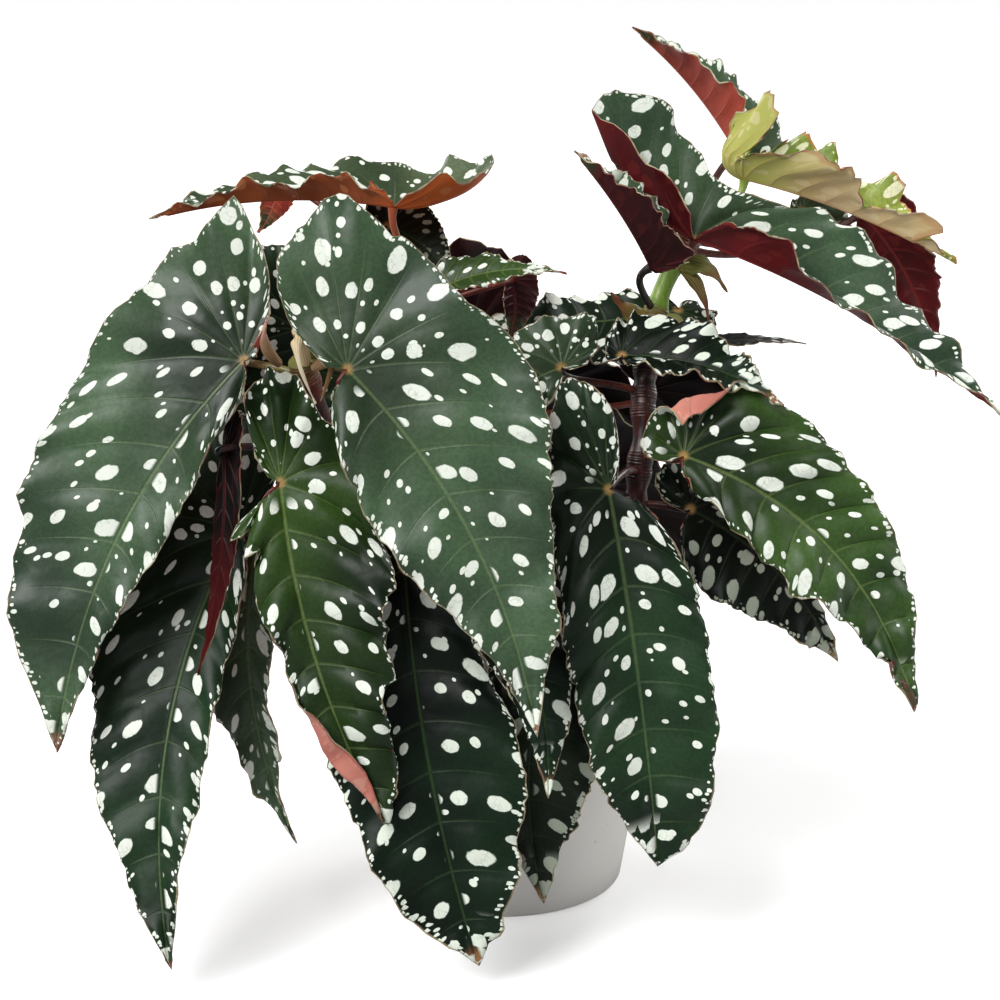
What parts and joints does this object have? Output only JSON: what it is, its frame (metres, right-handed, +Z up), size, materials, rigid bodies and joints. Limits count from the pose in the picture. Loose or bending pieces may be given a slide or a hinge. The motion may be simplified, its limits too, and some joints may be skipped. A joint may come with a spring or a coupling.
{
  "type": "potted polka dot begonia",
  "caption": "Potted cane begonia with lopsided, white-spotted, wavy-edged leaves, red underneath, in a plain tapered pot.",
  "frame": {"origin": "centre of the pot's flat base, on the surface that it stands on", "axes": "+Z up, -Y towards the viewer of the plant's front, +X to that viewer's right"},
  "size_m": [0.3361, 0.234, 0.305],
  "materials": {
    "pot_glaze": "satin",
    "soil": "matte",
    "cane_brown": "satin",
    "cane_green": "satin",
    "stipule": "matte",
    "leaf_green": "satin",
    "leaf_copper": "satin",
    "leaf_young": "satin"
  },
  "bodies": {
    "root": {"pot": "pot_glaze", "soil": "soil", "cane_left": "cane_brown", "cane_middle": "cane_brown", "cane_right": "cane_green", "cane_back": "cane_brown", "leaf_left_front": "leaf_green", "leaf_centre_front": "leaf_green", "leaf_centre_waved": "leaf_green", "leaf_lower_left": "leaf_green", "leaf_red_sliver": "leaf_green", "leaf_behind_lower_left": "leaf_green", "leaf_bottom_centre": "leaf_green", "leaf_behind_bottom": "leaf_green", "leaf_behind_centre": "leaf_green", "leaf_right_centre": "leaf_green", "leaf_right": "leaf_green", "leaf_behind_right": "leaf_green", "leaf_cupped_right": "leaf_green", "leaf_round_lobe": "leaf_green", "leaf_small_behind_top": "leaf_green", "leaf_narrow_point": "leaf_green", "leaf_top_left": "leaf_copper", "leaf_behind_nodes": "leaf_green", "leaf_red_behind_left": "leaf_green", "leaf_small_dark": "leaf_green", "leaf_middle_green": "leaf_green", "leaf_middle_red": "leaf_green", "leaf_top_maroon": "leaf_green", "leaf_top_long": "leaf_green", "leaf_top_high": "leaf_green", "leaf_top_back": "leaf_green", "leaf_top_behind": "leaf_green", "leaf_young": "leaf_young", "leaf_back_left": "leaf_green", "leaf_back_centre": "leaf_green", "leaf_back_right": "leaf_green", "leaf_back_low_left": "leaf_green", "leaf_back_low_right": "leaf_green", "leaf_side_left": "leaf_green"}
  },
  "joints": []
}
